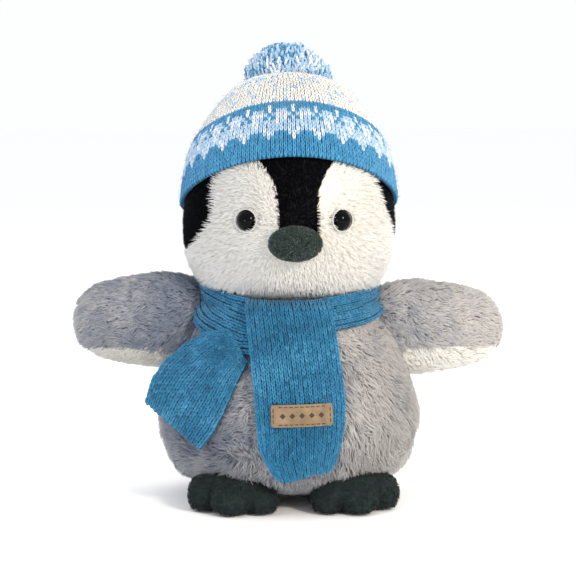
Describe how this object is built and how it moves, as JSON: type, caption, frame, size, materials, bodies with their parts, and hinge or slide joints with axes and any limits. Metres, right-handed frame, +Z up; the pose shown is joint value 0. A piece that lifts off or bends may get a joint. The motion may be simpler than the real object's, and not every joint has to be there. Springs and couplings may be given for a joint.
{
  "type": "plush penguin",
  "caption": "Stuffed penguin chick standing on padded feet, with a knitted beanie and pompom, a knotted scarf with a sewn patch, and sewn-on wings that swing.",
  "frame": {"origin": "on the floor under the middle of the whole toy's box", "axes": "+Z up, -Y the way the face and the feet point, +X the side that is on the right when the toy is seen from the front; left and right in every name are as seen from the front"},
  "size_m": [0.247, 0.1548, 0.267],
  "materials": {
    "grey_fur": "matte",
    "white_fur": "matte",
    "black_fur": "matte",
    "charcoal_plush": "matte",
    "fibre_stuffing": "matte",
    "bag_cotton": "matte",
    "pellets": "satin",
    "eye_black": "gloss",
    "eye_white": "gloss",
    "beanie_knit": "matte",
    "pompom_yarn": "matte",
    "tie_thread": "matte",
    "scarf_knit": "matte",
    "patch_leather": "satin",
    "patch_thread": "matte"
  },
  "bodies": {
    "torso": {"torso_front_panel": "grey_fur", "torso_back_panel": "grey_fur", "torso_base_panel": "grey_fur", "torso_stuffing": "fibre_stuffing", "pellet_bag": "bag_cotton", "pellet_fill": "pellets", "foot_left_upper": "charcoal_plush", "foot_left_sole": "charcoal_plush", "foot_left_stuffing": "fibre_stuffing", "foot_right_upper": "charcoal_plush", "foot_right_sole": "charcoal_plush", "foot_right_stuffing": "fibre_stuffing", "scarf_neck_wrap": "scarf_knit"},
    "head": {"head_face_panel": "white_fur", "head_cap_panel": "black_fur", "head_stuffing": "fibre_stuffing", "beak_cover": "charcoal_plush", "beak_stuffing": "fibre_stuffing", "eye_left": "eye_black", "eye_left_rim": "eye_white", "eye_left_washer": "eye_white", "eye_right": "eye_black", "eye_right_rim": "eye_white", "eye_right_washer": "eye_white"},
    "wing_left": {"wing_left_upper_panel": "grey_fur", "wing_left_under_panel": "white_fur", "wing_left_stuffing": "fibre_stuffing"},
    "wing_right": {"wing_right_upper_panel": "grey_fur", "wing_right_under_panel": "white_fur", "wing_right_stuffing": "fibre_stuffing"},
    "beanie": {"beanie_shell": "beanie_knit", "pompom": "pompom_yarn", "pompom_tie": "tie_thread"},
    "scarf_front": {"scarf_front_tail": "scarf_knit", "label_patch": "patch_leather", "label_stitches": "patch_thread"},
    "scarf_side": {"scarf_side_tail": "scarf_knit"}
  },
  "joints": [
    {"name": "head_turn", "type": "hinge", "parent": "torso", "child": "head", "pos_m": [0, 0.00385, 0.119], "axis": [0, 0, 1], "range_deg": [-25, 25], "stiffness_Nm_per_rad": 0.15},
    {"name": "wing_left_flap", "type": "hinge", "parent": "torso", "child": "wing_left", "pos_m": [-0.07535, 0.00385, 0.101], "axis": [0, 1, 0], "range_deg": [-45, 40], "stiffness_Nm_per_rad": 0.15},
    {"name": "wing_right_flap", "type": "hinge", "parent": "torso", "child": "wing_right", "pos_m": [0.07535, 0.00385, 0.101], "axis": [0, -1, 0], "range_deg": [-45, 40], "stiffness_Nm_per_rad": 0.15},
    {"name": "beanie_lift", "type": "slide", "parent": "head", "child": "beanie", "axis": [0, 0, 1], "range_m": [0, 0.11]},
    {"name": "scarf_front_lift", "type": "hinge", "parent": "torso", "child": "scarf_front", "pos_m": [0, -0.05015, 0.12], "axis": [-1, 0, 0], "range_deg": [0, 70]},
    {"name": "scarf_side_lift", "type": "hinge", "parent": "torso", "child": "scarf_side", "pos_m": [-0.04, -0.05415, 0.093], "axis": [-0.8229, 0.4189, 0.3839], "range_deg": [0, 60]}
  ]
}
